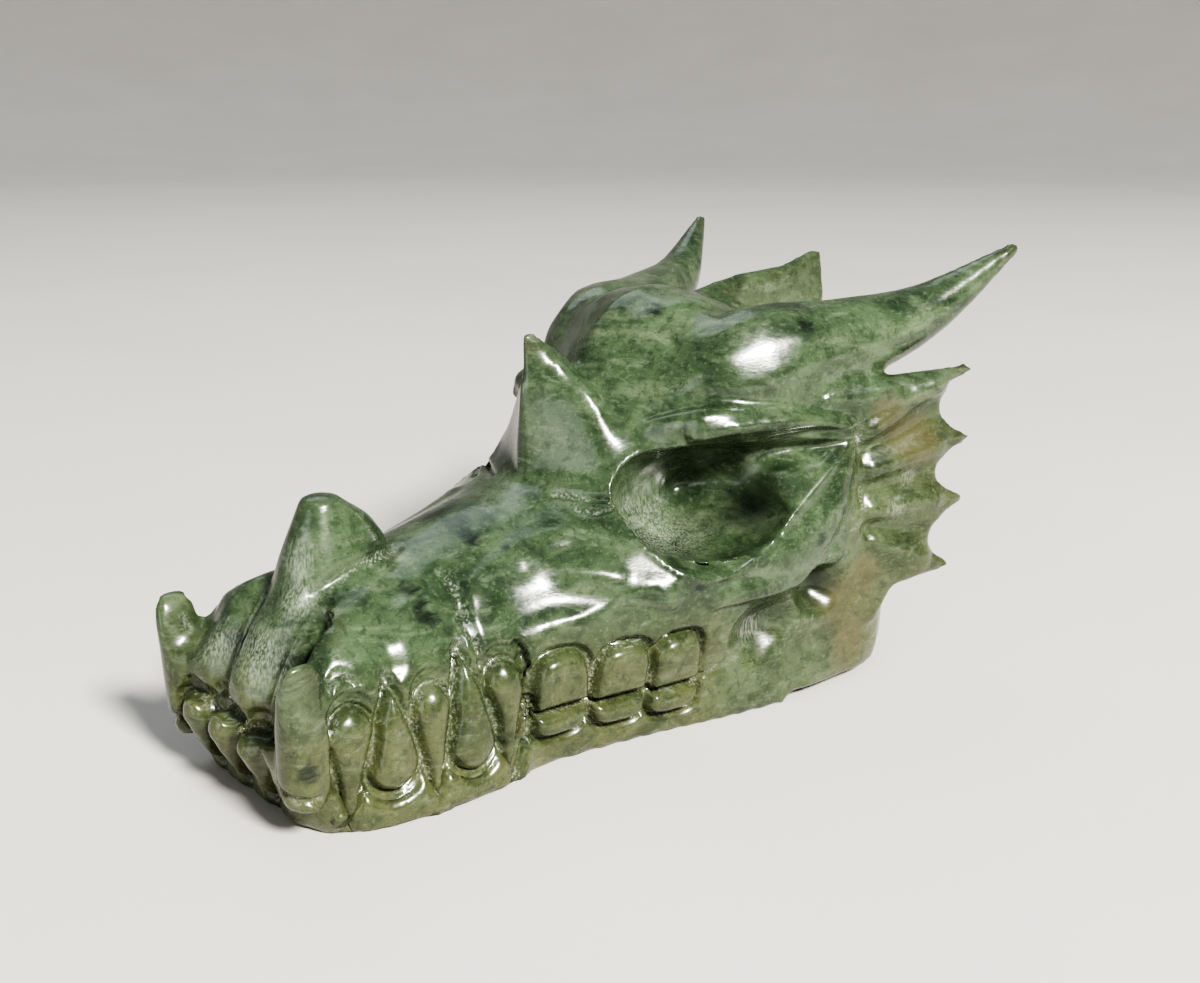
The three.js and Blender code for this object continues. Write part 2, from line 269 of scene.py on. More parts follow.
spread = NOSE_SPREAD * np.maximum(at[:, 0] - NOSE_AXIS, 0) * rise(at[:, 2], NOSE_TOP, -NOSE_RUN)
at[:, 0] += spread * well_within(at, NOSE_BACK, NOSE_REACH)
at = grind(at, within(at, NOSE_FOOT, NOSE_FOOT_REACH), NOSE_FOOT_ROUNDS)

# Tusks: two stumps that stand up at the front corners of the jaw. The shoulder on the inner side of each is
# scooped down with a drum, so that the tusk stands free of the snout.
TUSK_OUTSIDE = 17.0
TUSK_INSIDE = 10.5
TUSK_THICK = 6.0
TUSK_BACK = -54.0
TUSK_FROM = 16.0
TUSK_TALL = 9.0
TUSK_SCOOP = 6.5

side = np.abs(at[:, 1])
tusk = (at[:, 0] < TUSK_BACK) & (side > TUSK_INSIDE)
scoop = rise(side, TUSK_OUTSIDE, -TUSK_THICK) * rise(at[:, 2], TUSK_FROM, TUSK_TALL)
at[:, 2] -= TUSK_SCOOP * scoop * tusk

# Frills: thin plates with pointed edges that stand out behind the cheeks, sawn from the same block. Their
# points are drawn out to the rear, furthest at the tips.
FRILL_FROM = 37.0
FRILL_UNDER = 46.0
FRILL_OUTSIDE = 24.0
FRILL_STRETCH = 0.14

behind = np.maximum(at[:, 0] - FRILL_FROM, 0) * (at[:, 2] < FRILL_UNDER) * (side > FRILL_OUTSIDE)
at[:, 0] += FRILL_STRETCH * behind
put(at)

# The marking out: before the fine work the walls of the jaw and the front of the snout are dressed to plain
# faces. There, and along the rims of the eyes, the skin is made twice as fine for the cuts that follow.
JAW_ALONG = (-56.3, 3.5)
JAW_TALL = (0.9, 21.5)
JAW_OUTSIDE = 10.0
JAW_UNDERSIDE = -0.75
JAW_ROUNDS = 160
SNOUT_AT = (-56.0, -5.5, 21.0)
SNOUT_REACH = 9.0
SNOUT_BACK = -50.0
SNOUT_ROUNDS = 60
FRONT_BACK = -54.5
FRONT_TOP = 24.0
EYE_FRONT = (-7.0, 30.4)
EYE_BACK = (29.5, 40.2)
EYE_HALF = 8.3
EYE_EDGE = 2.2
EYE_OUTSIDE = 9.0
SHOULDER = 0.27
TAPER = 1.2
FINE_ROUNDS = 3
TINY = 1e-9


def drop(root, tip, half, steps=14):
    """A rounded root that narrows to a point, as a closed outline. Fangs and eyes have this shape."""
    root, tip = np.array(root), np.array(tip)
    round_part = SHOULDER * (1 - np.cos(np.linspace(0, math.pi / 2, steps)))
    along = np.concatenate((round_part, np.linspace(SHOULDER, 1, steps)[1:]))
    rounded = np.sqrt(np.clip(1 - (1 - along / SHOULDER) ** 2, 0, 1))
    narrowing = 1 - np.clip((along - SHOULDER) / (1 - SHOULDER), 0, 1) ** TAPER
    wide = half * np.where(along < SHOULDER, rounded, narrowing)
    axis = tip - root
    across = np.array((-axis[1], axis[0])) / np.linalg.norm(axis)
    spine = root + along[:, None] * axis
    return np.vstack((spine + wide[:, None] * across, (spine - wide[:, None] * across)[::-1]))


def inside(flat, outline):
    """How far inside the closed outline each flat place is, less than 0 outside."""
    gap = np.full(len(flat), np.inf)
    odd = np.zeros(len(flat), bool)
    for start, end in zip(outline, np.roll(outline, -1, axis=0)):
        along = end - start
        gone = flat - start
        share = np.clip(gone @ along / (along @ along + TINY), 0, 1)
        gap = np.minimum(gap, np.linalg.norm(gone - share[:, None] * along, axis=1))
        crossing = (start[1] > flat[:, 1]) != (end[1] > flat[:, 1])
        reach = start[0] + gone[:, 1] * along[0] / (along[1] if along[1] else TINY)
        odd ^= crossing & (flat[:, 0] < reach)
    return np.where(odd, gap, -gap)


def refine(near):
    """Halves the skin's spacing wherever near is true."""
    fine = bmesh.new()
    fine.from_mesh(stone)
    fine.verts.ensure_lookup_table()
    halved = [edge for edge in fine.edges if near[edge.verts[0].index] and near[edge.verts[1].index]]
    bmesh.ops.subdivide_edges(fine, edges=halved, cuts=1, use_grid_fill=True)
    bmesh.ops.triangulate(fine, faces=[face for face in fine.faces if len(face.verts) > 4])
    fine.to_mesh(stone)
    fine.free()


def jaw_wall(at, out):
    along, tall = at[:, 0], at[:, 2]
    band = (along > JAW_ALONG[0]) & (along < JAW_ALONG[1]) & (tall > JAW_TALL[0]) & (tall < JAW_TALL[1])
    return band & (np.abs(at[:, 1]) > JAW_OUTSIDE) & (out[:, 2] > JAW_UNDERSIDE)


at = places()
at = grind(at, jaw_wall(at, outward()).astype(float), JAW_ROUNDS)
at = grind(at, well_within(at, SNOUT_AT, SNOUT_REACH) * (at[:, 0] < SNOUT_BACK), SNOUT_ROUNDS)
put(at)

eye_outline = drop(EYE_FRONT, EYE_BACK, EYE_HALF)
rim = (np.abs(inside(at[:, (0, 2)], eye_outline)) < EYE_EDGE) & (np.abs(at[:, 1]) > EYE_OUTSIDE)
snout_front = (at[:, 0] < FRONT_BACK) & (at[:, 2] < FRONT_TOP)
refine(jaw_wall(at, outward()) | snout_front | rim)
at = places()
neighbours = edge_ends()
at = take_flats(at, np.ones(len(at)), FINE_ROUNDS)
put(at)

# Teeth: they aren't set in, but cut on the wall of the jaw with a small burr and rounded over with a stone.
# Each row gives a tooth of the left side: root and tip along the jaw and in height, and half the width.
FANGS = (
    ((-52.8, 17.8), (-53.3, 1.4), 3.5),
    ((-47.6, 4.4), (-47.0, 19.8), 3.9),
    ((-41.1, 17.8), (-41.6, 1.6), 3.1),
    ((-35.4, 3.9), (-36.0, 21.4), 4.1),
    ((-30.2, 18.3), (-29.7, 1.5), 3.2),
)
INCISORS = (  # these stand across the front: root and tip across the snout and in height
    ((10.4, 13.2), (9.4, 0.8), 3.4),
    ((2.7, 13.4), (2.3, 0.8), 3.5),
    ((-5.0, 12.6), (-4.7, 0.8), 3.4),
)
INCISORS_TOP = 17.0
INCISORS_HALF = 14.0
INCISORS_FACING = -0.35
MOLARS = ((-21.2, 8.8), (-11.4, 8.1), (-2.5, 7.6))  # middle of each along the jaw, and the height of the bite
MOLAR_HALF = 4.75
MOLAR_UP = 8.5
MOLAR_DOWN = 4.6
MOLAR_SQUARE = 3.2
FANG_SLOPE = 0.36
FANG_FACET = 3.2
CROWN = 1.05
CROWN_ROUND = 2.3
GUM_TURN = 1.3
GUM_GAP = 0.5
GUM_WIDE = 1.5
GUM_DEPTH = 0.75
GUM_WALL = 0.5
BURR = 0.8
BURR_DEPTH = 1.8
FRONT_BURR = 1.0
FRONT_BURR_DEPTH = 2.0
GROOVE_SHARE = 0.6
VALLEY_SHARE = 0.4
VALLEY_WIDE = 2.4


def gum(root, tip, half, steps=14):
    """The crescent round a fang's root, as a closed outline."""
    root, tip = np.array(root), np.array(tip)
    axis = tip - root
    length = np.linalg.norm(axis)
    across = np.array((-axis[1], axis[0])) / length
    turn = np.linspace(-GUM_TURN, GUM_TURN, steps)
    sides = []
    for gap in (GUM_GAP + 0 * turn, GUM_GAP + GUM_WIDE * np.cos(turn)):
        aside = (half + gap) * np.sin(turn)
        under = (SHOULDER * length + gap) * np.cos(turn)
        sides.append(root + SHOULDER * axis + aside[:, None] * across - under[:, None] * axis / length)
    return np.vstack((sides[0], sides[1][::-1]))


def molar(x, bite, height, steps=20):
    """A square tooth with round corners that stands on the line of the bite."""
    turn = np.linspace(0, math.pi, steps)
    corner = 2 / MOLAR_SQUARE
    wide = MOLAR_HALF * np.sign(np.cos(turn)) * np.abs(np.cos(turn)) ** corner
    tall = height * np.abs(np.sin(turn)) ** corner
    return np.column_stack((x + wide, bite + tall))


def toothed(flat, outlines, burr, depth):
    """How far each place is raised on a tooth or sunk beside one, and how much the burr has scratched it."""
    crown = np.zeros(len(flat))
    groove = np.zeros(len(flat))
    valley = np.zeros(len(flat))
    for outline, pointed in outlines:
        far_in = inside(flat, outline)
        if pointed:
            crown = np.maximum(crown, FANG_SLOPE * np.clip(far_in, 0, FANG_FACET))
        else:
            crown = np.maximum(crown, CROWN * (1 - (1 - np.clip(far_in / CROWN_ROUND, 0, 1)) ** 2))
        groove = np.maximum(groove, 1 - np.abs(far_in) / burr)
        valley = np.maximum(valley, 1 - np.abs(far_in) / (VALLEY_WIDE * burr))
    groove = np.clip(groove, 0, 1)
    valley = np.clip(valley, 0, 1) ** 2
    return crown - depth * (GROOVE_SHARE * groove + VALLEY_SHARE * valley), groove


out = outward()
raised = np.zeros(len(at))
scratched = np.zeros(len(at))
wall = np.flatnonzero(jaw_wall(at, out))
wall_flat = at[wall][:, (0, 2)]
outlines = [(drop(*tooth), True) for tooth in FANGS]
outlines += [(molar(x, bite, height), False) for x, bite in MOLARS for height in (MOLAR_UP, -MOLAR_DOWN)]
raised[wall], scratched[wall] = toothed(wall_flat, outlines, BURR, BURR_DEPTH)
for tooth in FANGS:
    raised[wall] -= GUM_DEPTH * np.clip(inside(wall_flat, gum(*tooth)) / GUM_WALL, 0, 1)

front = (at[:, 0] < FRONT_BACK) & (at[:, 2] < INCISORS_TOP) & (np.abs(at[:, 1]) < INCISORS_HALF)
front = np.flatnonzero(front & (out[:, 0] < INCISORS_FACING))
outlines = [(drop(*tooth), True) for tooth in INCISORS]
raised[front], scratched[front] = toothed(at[front][:, 1:], outlines, FRONT_BURR, FRONT_BURR_DEPTH)
at = at + out * raised[:, None]

# Nostrils: two slits, one on each side of the septum, cut straight back into the snout with a thin burr. Each
# row gives a slit's place across the snout and half its width.
NOSTRILS = ((-8.8, 2.8), (3.4, 1.6))
NOSTRIL_DEPTH = 6.0
NOSTRIL_FOOT = 12.5
NOSTRIL_TOP = 28.5
NOSTRIL_RUN = 5.0
NOSTRIL_WALL = 1.8
NOSTRIL_FACING = -0.2
NOSTRIL_BACK = -48.0

slit_tall = rise(at[:, 2], NOSTRIL_FOOT, NOSTRIL_RUN) * rise(at[:, 2], NOSTRIL_TOP, -NOSTRIL_RUN)
snout = (out[:, 0] < NOSTRIL_FACING) & (at[:, 0] < NOSTRIL_BACK)
for across, half in NOSTRILS:
    slit = np.clip(NOSTRIL_WALL * soft(np.abs(at[:, 1] - across) / half), 0, 1)
    at[:, 0] += NOSTRIL_DEPTH * slit * slit_tall * snout
put(at)

# Eyes: deep drop-shaped hollows under the brow, opened from the side with a ball burr. Each has a raised rim,
# its point at the back, and a deeper well low in its middle. Wall, corner and rim are smoothed afterwards.
EYE_DEPTH = 3.6
EYE_LIP = 1.3
EYE_FACING = -0.3
EYE_FAR = -9.0
EYE_RIM = 0.45
EYE_RIM_WIDE = 0.9
EYE_ROUNDS = 12
WELL = (12.8, 31.0)
WELL_REACH = 8.0
WELL_DEPTH = 6.0
WELL_FROM = 0.5
EYE_WALL = 1.2
EYE_WALL_FULL = 1.4
EYE_WALL_ROUNDS = 8
EYE_CORNER = (18.5, -24.0, 35.5)
EYE_CORNER_REACH = 5.0
EYE_CORNER_ROUNDS = 20
EYE_EDGE_FULL = 1.5
EYE_EDGE_ROUNDS = 8

which_side = np.sign(at[:, 1])
socket = np.flatnonzero((np.abs(at[:, 1]) > EYE_OUTSIDE) & (out[:, 1] * which_side > EYE_FACING))
eye_in = np.full(len(at), EYE_FAR)
eye_in[socket] = inside(at[socket][:, (0, 2)], eye_outline)
opened = EYE_DEPTH * (1 - np.exp(-np.maximum(eye_in, 0) / EYE_LIP))
opened -= EYE_RIM * np.exp(-(eye_in / EYE_RIM_WIDE) ** 2)
well = soft(np.linalg.norm(at[:, (0, 2)] - WELL, axis=1) / WELL_REACH)
opened += WELL_DEPTH * well * np.clip(eye_in / EYE_LIP - WELL_FROM, 0, 1)
at[:, 1] -= which_side * opened
at = grind(at, np.clip(eye_in / EYE_LIP, 0, 1), EYE_ROUNDS)
at = grind(at, np.clip(EYE_WALL_FULL - np.abs(eye_in - EYE_WALL) / EYE_WALL, 0, 1), EYE_WALL_ROUNDS)
at = grind(at, within(at, EYE_CORNER, EYE_CORNER_REACH), EYE_CORNER_ROUNDS)
at = take_flats(at, np.clip(EYE_EDGE_FULL - np.abs(eye_in) / EYE_EDGE, 0, 1), EYE_EDGE_ROUNDS)
put(at)

# Face lines: folds, creases and rims drawn on the ground stone with round burrs, and smoothed strips between
# them. Each is a line on the left side with a width and a depth, and a depth below 0 raises a ridge.
FACE_LINES = {
    "crease over the brow": (2.0, 1.0, ((1, -13, 46.5), (7, -18.5, 47.5), (12, -23, 47.5), (20, -26.5, 46.5),
                                        (29, -29, 44))),
    "edge under the brow": (1.6, -0.7, ((4, -20.5, 43), (9.5, -24, 44.2), (16, -26, 44.2), (23, -28, 43.5),
                                        (30, -28.5, 42))),
    "tear": (0.9, 1.0, ((-11.5, -7, 35), (-9, -11.5, 34.8), (-6.5, -15, 34.5))),
    "lower tear": (0.8, 0.6, ((-11, -12, 33.7), (-9.5, -14, 33.2), (-7.5, -15.5, 33.7))),
    "behind the nose": (1.2, 0.75, ((-35, -1.5, 30.5), (-41, -5, 31), (-45, -5.5, 30.5), (-50, -5, 28.3))),
    "first cut of the snout": (1.2, 0.9, ((-33, -9, 28.7), (-32.7, -12.3, 26.4), (-33.5, -16, 22.3),
                                          (-32.7, -18.5, 17.7))),
    "second cut of the snout": (0.9, 0.7, ((-33.7, -13.7, 25), (-34.7, -15.5, 23.2), (-35.7, -16.8, 21))),
    "side of the nostril": (2.8, 0.7, ((-41, -9.5, 28), (-44, -12.3, 26), (-46, -14.6, 23.8),
                                       (-46, -16.4, 21))),
    "fold of the cheek": (3.2, -0.6, ((-30, -13.3, 26), (-25, -12, 28.2), (-19.5, -11.8, 30),
                                      (-15, -13, 31))),
    "ridge of the cheek": (2.8, -0.5, ((-20, -14.3, 28.2), (-16, -18, 27.2), (-12.5, -21.5, 26))),
    "hollow of the cheek": (4.2, 0.8, ((-26, -17, 23.4), (-20, -18.7, 24), (-14.5, -22.8, 23),
                                       (-9, -24.7, 21))),
    "knob of the cheek": (2.6, -0.8, ((-6.8, -25.6, 22.6), (-6, -26, 22.3))),
    "arch of the cheek": (2.4, -0.9, ((2, -27.5, 20.5), (9, -29.2, 20.8), (17, -29, 20.5),
                                      (26, -29.4, 22.5))),
    "root of the frill": (1.0, 0.45, ((29.7, -28.6, 43.3), (31.5, -29, 39), (32.3, -29, 33),
                                      (32.3, -29.3, 28.5))),
    "first point of the frill": (2.6, -1.2, ((33, -29.5, 41), (40, -31.5, 45), (45, -33, 47))),
    "second point of the frill": (2.4, -1.0, ((33.5, -29.5, 34.7), (42, -32, 36.5), (46, -33.2, 37.3))),
    "third point of the frill": (2.4, -1.0, ((34, -29.6, 28), (42, -32, 28.5), (46, -33.2, 28.3))),
    "first fold of the frill": (2.2, 0.8, ((32.5, -29.2, 38), (39, -31, 39.8), (44, -32.4, 42))),
    "second fold of the frill": (2.2, 0.8, ((33, -29.2, 31.5), (39, -31, 32), (44, -32.4, 33))),
    "third fold of the frill": (2.2, 0.8, ((33.5, -29.4, 25.5), (39, -31, 24.5), (43, -32.2, 23.5))),
    "last point of the frill": (2.4, -0.9, ((35, -30, 23), (42, -32, 19.5), (44.5, -32.8, 18.5))),
    "lip": (1.5, 1.0, ((-59.8, 0, 12.4), (-59.8, -3, 12.8), (-59.7, -6, 14.2), (-59.6, -9, 12.8),
                       (-59.5, -12, 13.6))),
    "bite": (0.6, 0.8, ((-26.2, -18.8, 9.0), (-16, -19.5, 8.4), (-7, -21.5, 7.8), (1.5, -23.4, 7.6),
                        (7, -25, 8.8))),
    "step behind the fangs": (1.2, 1.6, ((-27.5, -19, 19.5), (-26.8, -19.3, 14.2), (-26.3, -18.7, 9.2),
                                         (-27.8, -19.2, 3.4), (-29.5, -20, 0.8))),
    "gum over the first fang": (0.8, 0.6, ((-55.5, -15.5, 19.5), (-54.3, -15.3, 21.2), (-53, -15.4, 21.7),
                                           (-51.6, -16.4, 20))),
    "foot of the jaw": (5.0, -1.2, ((-56, -15.5, 1.5), (-50, -17.5, 1), (-42, -19, 1), (-34, -19.5, 1),
                                    (-29, -20, 1.5))),
    "foot of the tusk": (0.9, 0.8, ((-62, -14, 8.2), (-61.3, -16, 7.6), (-60.3, -17.4, 7.3),
                                    (-58, -17.8, 7.0))),
}
LINE_STEP = 0.5
LINE_ROUNDS = 1
SCRATCH_WIDEST = 1.5
LIP_AT = (-59.5, -5.0, 14.5)
LIP_REACH = 7.0
LIP_SHARE = 0.6
LIP_ROUNDS = 6


def drawn(points):
    """A smooth line through the points, as many short steps."""
    points = np.array(points, float)
    guides = np.vstack((2 * points[0] - points[1], points, 2 * points[-1] - points[-2]))
    line = []
    for a, b, c, d in zip(guides, guides[1:], guides[2:], guides[3:]):
        steps = max(2, int(np.linalg.norm(c - b) / LINE_STEP))
        share = np.linspace(0, 1, steps, endpoint=False)[:, None]
        line.append(0.5 * (2 * b + (c - a) * share + (2 * a - 5 * b + 4 * c - d) * share ** 2
                           + (3 * b - a - 3 * c + d) * share ** 3))
    return np.vstack(line + [points[-1:]])


def laid(line, surface):
    """The line moved to the nearest places on the surface."""
    return np.array([surface.find_nearest(Vector(point * MM))[0] for point in line]) / MM


def distance(at, line, reach):
    """How far each place is from the line, up to reach."""
    far = np.full(len(at), float(reach))
    near = np.flatnonzero(((at > line.min(0) - reach) & (at < line.max(0) + reach)).all(1))
    for start, end in zip(line, line[1:]):
        along = end - start
        gone = at[near] - start
        share = np.clip(gone @ along / (along @ along + TINY), 0, 1)
        gap = np.linalg.norm(gone - share[:, None] * along, axis=1)
        far[near] = np.minimum(far[near], gap)
    return far


uncut = surface_of(stone)
left = left_side(at)
out = outward()
for width, depth, points in FACE_LINES.values():
    cut = (1 - (distance(left, laid(drawn(points), uncut), width) / width) ** 2) ** 2
    at = at - out * (depth * cut)[:, None]
    if depth > 0 and width < SCRATCH_WIDEST:
        scratched = np.maximum(scratched, cut)
at = take_flats(at, np.ones(len(at)), LINE_ROUNDS)
at = grind(at, LIP_SHARE * within(at, LIP_AT, LIP_REACH), LIP_ROUNDS)
at[:, 2] = np.maximum(at[:, 2], 0)
put(at)

# Jade: nephrite in mid greens with pale clouds, dark grains and hairlines, polished by hand. Thin edges get a
# painted amber glow of light through the stone, the jaw is olive, and pale polishing paste is left in the
# grooves.
# The deep hollows get painted shade, and the sanded places are paler, partly as a painted sheen.
DEEP_GREEN = (0.018, 0.034, 0.016, 1)
MID_GREEN = (0.070, 0.106, 0.055, 1)
PALE_GREEN = (0.165, 0.210, 0.130, 1)
MILKY = (0.300, 0.360, 0.270, 1)
# The grain black is also the black of the painted shade in the hollows.
GRAIN_AND_SHADE_BLACK = (0.007, 0.012, 0.008, 1)
AMBER = (0.095, 0.078, 0.036, 1)
OLIVE = (0.094, 0.092, 0.033, 1)
# The paste white also lightens the sanded places, partly as a painted sheen.
PASTE_AND_SHEEN_WHITE = (0.55, 0.58, 0.50, 1)
DARK_SPOTS = (  # here and in the next three, the middle and the reach of each place on the left side
    ((-17, -21, 23), 2.6), ((26.5, -30.5, 30), 2.2), ((21, -30.5, 26.5), 2.4), ((38.5, -31, 34.5), 1.6),
    ((-38.5, -10, 27.6), 4.0), ((-38.5, -13.5, 25), 3.5), ((-25.5, -2.5, 32.6), 4.5), ((-26, -7, 31), 3.5),
    ((-23, -10.5, 30), 1.6), ((52.5, -25.5, 60), 1.8), ((-1.5, -27.2, 23.4), 2.0), ((-59.5, -18, 11), 3.0),
    ((23.5, -23.5, 57.5), 2.6), ((10, -6, 59.5), 3.0),
)
BROWN_PLACES = (
    ((39, -31, 40), 8.0), ((33, -29, 18), 8.0), ((32, -28.5, 7), 9.0), ((35, -30, 44), 5.0),
    ((43, -32, 38), 7.0), ((27, -28, 14), 6.0),
)
# Painted shade: the deep well of the eye, the two pits and the nostril are darkened towards black where they
# would lie in shadow.
PAINTED_SHADE_PLACES = (((15.0, -22.0, 31), 8.0), ((13, -25, 14), 4.5), ((26, -25.5, 17), 4.5), ((-55, -6, 20), 3.5))
# Sanded places are paler: partly the pale scratches of the sanding, and partly a painted sheen, most of all
# at the front of the snout and on the floor of the eye.
SANDED_AND_PAINTED_SHEEN_PLACES = (
    ((2, -15.5, 29.5), 11.0), ((-57, -2, 21), 7.0), ((-52, -4, 28), 4.5), ((-51, -2.5, 33), 4.0),
    ((-58, -9, 20), 5.0), ((41, -31.5, 33), 2.6), ((38, -31, 27.5), 3.0), ((12.5, -24, 13.5), 4.5),
)
OLIVE_FADE = 8.0
OLIVE_JAW_TOP = 22.0
OLIVE_JAW_BACK = 12.0
OLIVE_JAW_RUN = 10.0
OLIVE_JAW_LEAST = 0.4
OLIVE_FRILL_FROM = 26.0
OLIVE_FRILL_TOP = 46.0
OLIVE_FRILL_MOST = 0.5
# How fast the painted amber glow fades as the stone grows thicker.
PAINTED_GLOW_FADE = 1.5
BED_TURN = (0.5, 0.35, 0.2)
BED_STRETCH = (1, 1, 2.6)
BRUSH_TURN = (0.7, 0.4, 0.3)
BRUSH_STRETCH = (1, 1, 0.14)
HAIRLINE_HALF = 0.004
# Of these, the shade in the hollows and the amber glow on thin edges are painted light, not things in the
# stone.
SHOWS = {  # how strongly each thing in the stone shows, from 0 to 1
    "wisps": 0.4, "pale": 0.5, "milk": 0.25, "mottle": 0.55, "specks": 0.25, "flecks": 0.4, "spots": 0.85,
    "hairline": 0.55, "brown": 0.7, "painted_thin_glow": 0.28, "painted_shade": 0.9,
}
OLIVE_LEAST = 0.3
OLIVE_CLOUDED = 0.35
SPOTS_GATHER = 0.55
BROWN_GATHER = 1.1
BROWN_PALE = 0.6
BROWN_LESS = 0.4
CAKED_MOST = 0.45
CAKED_LEAST = 0.03
SANDING_AND_SHEEN_PALE = 0.30
POLISH_ROUGH = 0.14
SCUFF_ROUGH = 0.20
PASTE_ROUGH = 0.3
SANDED_ROUGH = 0.2
SCUFF_HIGH = 0.6
RIPPLE_STRENGTH = 0.10
RIPPLE_HIGH = 0.3 * MM


class Tone:
    """A socket in a material's node tree, or the tree alone."""

    def __init__(self, tree, socket=None):
        self.tree = tree
        self.socket = socket

    def node(self, kind, settings=None, inputs=None, out=0):
        made = self.tree.nodes.new(kind)
        for name, value in (settings or {}).items():
            setattr(made, name, value)
        for name, value in (inputs or {}).items():
            if isinstance(value, Tone):
                self.tree.links.new(value.socket, made.inputs[name])
            else:
                made.inputs[name].default_value = value
        return Tone(self.tree, made.outputs[out] if made.outputs else None)

    def maths(self, operation, *values):
        return self.node("ShaderNodeMath", {"operation": operation}, dict(enumerate(values)))

    def __add__(self, other):
        return self.maths("ADD", self, other)

    def __radd__(self, other):
        return self.maths("ADD", other, self)

    def __sub__(self, other):
        return self.maths("SUBTRACT", self, other)

    def __rsub__(self, other):
        return self.maths("SUBTRACT", other, self)

    def __mul__(self, other):
        return self.maths("MULTIPLY", self, other)

    def __rmul__(self, other):
        return self.maths("MULTIPLY", other, self)

    def __abs__(self):
        return self.maths("ABSOLUTE", self)

    def between(self, low, high):
        """0 at low and below, 1 at high and above."""
        return self.node("ShaderNodeMapRange", {"clamp": True},
                         {"Value": self, "From Min": low, "From Max": high})

    def over(self, below, above):
        """The colour below where this is 0, and the colour above where it is 1."""
        share, first_colour, second_colour, colour_out = 0, 6, 7, 2
        return self.node("ShaderNodeMix", {"data_type": "RGBA"},
                         {share: self, first_colour: below, second_colour: above}, colour_out)

    def noise(self, scale, detail, distortion=0.0):
        return self.node("ShaderNodeTexNoise", {}, {"Vector": self, "Scale": scale, "Detail": detail,
                                                    "Distortion": distortion})

    def turned(self, turn, stretch):
        return self.node("ShaderNodeMapping", {}, {"Vector": self, "Rotation": turn, "Scale": stretch})

    def layer(self, name):
        return self.node("ShaderNodeAttribute", {"attribute_name": name}, out="Fac")


def shown(name, mask, below, above):
    return (mask * SHOWS[name]).over(below, above)


def keep_layer(name, values):
    layer = stone.attributes.new(name, "FLOAT", "POINT")
    layer.data.foreach_set("value", np.clip(values, 0, 1).astype(np.float32))


jade = bpy.data.materials.new("polished_jade")
jade.use_nodes = True
jade.node_tree.nodes.clear()
tone = Tone(jade.node_tree)
where = tone.node("ShaderNodeTexCoord", out="Object")
bedded = where.turned(BED_TURN, BED_STRETCH)
brushed = where.turned(BRUSH_TURN, BRUSH_STRETCH)

clouds = where.noise(scale=100, detail=5, distortion=1.2).between(0.34, 0.66)
wisps = bedded.noise(scale=190, detail=5, distortion=2.2).between(0.42, 0.66)
pale = bedded.noise(scale=75, detail=5, distortion=1.6).between(0.52, 0.74)
milk = bedded.noise(scale=130, detail=5, distortion=2.4).between(0.60, 0.78)
green = clouds.over(DEEP_GREEN, MID_GREEN)
green = shown("wisps", wisps, green, MID_GREEN)
green = shown("pale", pale, green, PALE_GREEN)
green = (tone.layer("olive") * (OLIVE_LEAST + clouds * OLIVE_CLOUDED)).over(green, OLIVE)
green = shown("milk", milk, green, MILKY)

mottle = where.noise(scale=700, detail=4, distortion=0.5).between(0.50, 0.68)
specks = where.noise(scale=1500, detail=3).between(0.56, 0.70)
flecks = where.noise(scale=2400, detail=2).between(0.58, 0.72)
grains = bedded.noise(scale=260, detail=5, distortion=1.8)
spots = (tone.layer("dark") * SPOTS_GATHER + grains).between(0.72, 1.05)
hairline = 1 - abs(where.noise(scale=60, detail=5, distortion=3.0) - 0.5).between(0.0, HAIRLINE_HALF)
green = shown("mottle", mottle, green, DEEP_GREEN)
green = shown("specks", specks, green, PALE_GREEN)
green = shown("flecks", flecks, green, DEEP_GREEN)
green = shown("spots", spots, green, GRAIN_AND_SHADE_BLACK)
green = shown("hairline", hairline, green, GRAIN_AND_SHADE_BLACK)

brown = (tone.layer("brown") * BROWN_GATHER + pale * BROWN_PALE - BROWN_LESS).between(0.0, 1.0)
green = shown("brown", brown, green, AMBER)
# Painted glow: thin edges are tinted amber, as if light shone through the stone there.
green = shown("painted_thin_glow", tone.layer("painted_thin_glow"), green, AMBER)
# Painted shade: the hollows are darkened towards black.
green = shown("painted_shade", tone.layer("painted_shade"), green, GRAIN_AND_SHADE_BLACK)

sanded_and_painted_sheen = tone.layer("sanded_and_painted_sheen")
# The pale sanding streaks are partly a painted sheen.
sanding_and_painted_sheen = sanded_and_painted_sheen * brushed.noise(scale=3600, detail=3, distortion=0.3).between(0.40, 0.64)
caked = where.noise(scale=2300, detail=2).between(0.50, 0.70) * CAKED_MOST + CAKED_LEAST
patchy = where.noise(scale=170, detail=3).between(0.38, 0.58)
paste_and_painted_sheen = tone.layer("scratched") * caked * patchy + sanding_and_painted_sheen * SANDING_AND_SHEEN_PALE
# Paste in the grooves, and the pale sanding that is partly a painted sheen, lighten the green.
green = paste_and_painted_sheen.over(green, PASTE_AND_SHEEN_WHITE)

scuffs = bedded.noise(scale=1100, detail=3)
gloss = POLISH_ROUGH + scuffs * SCUFF_ROUGH + paste_and_painted_sheen * PASTE_ROUGH + sanded_and_painted_sheen * SANDED_ROUGH
ripple = where.noise(scale=420, detail=2)
bump = tone.node("ShaderNodeBump", {}, {"Strength": RIPPLE_STRENGTH, "Distance": RIPPLE_HIGH,
                                        "Height": ripple + scuffs * SCUFF_HIGH})
polish = tone.node("ShaderNodeBsdfPrincipled", {}, {
    "Base Color": green, "Roughness": gloss, "Normal": bump, "IOR": 1.55,
    "Coat Weight": 0.15, "Coat Roughness": 0.06})
tone.node("ShaderNodeOutputMaterial", {}, {"Surface": polish})

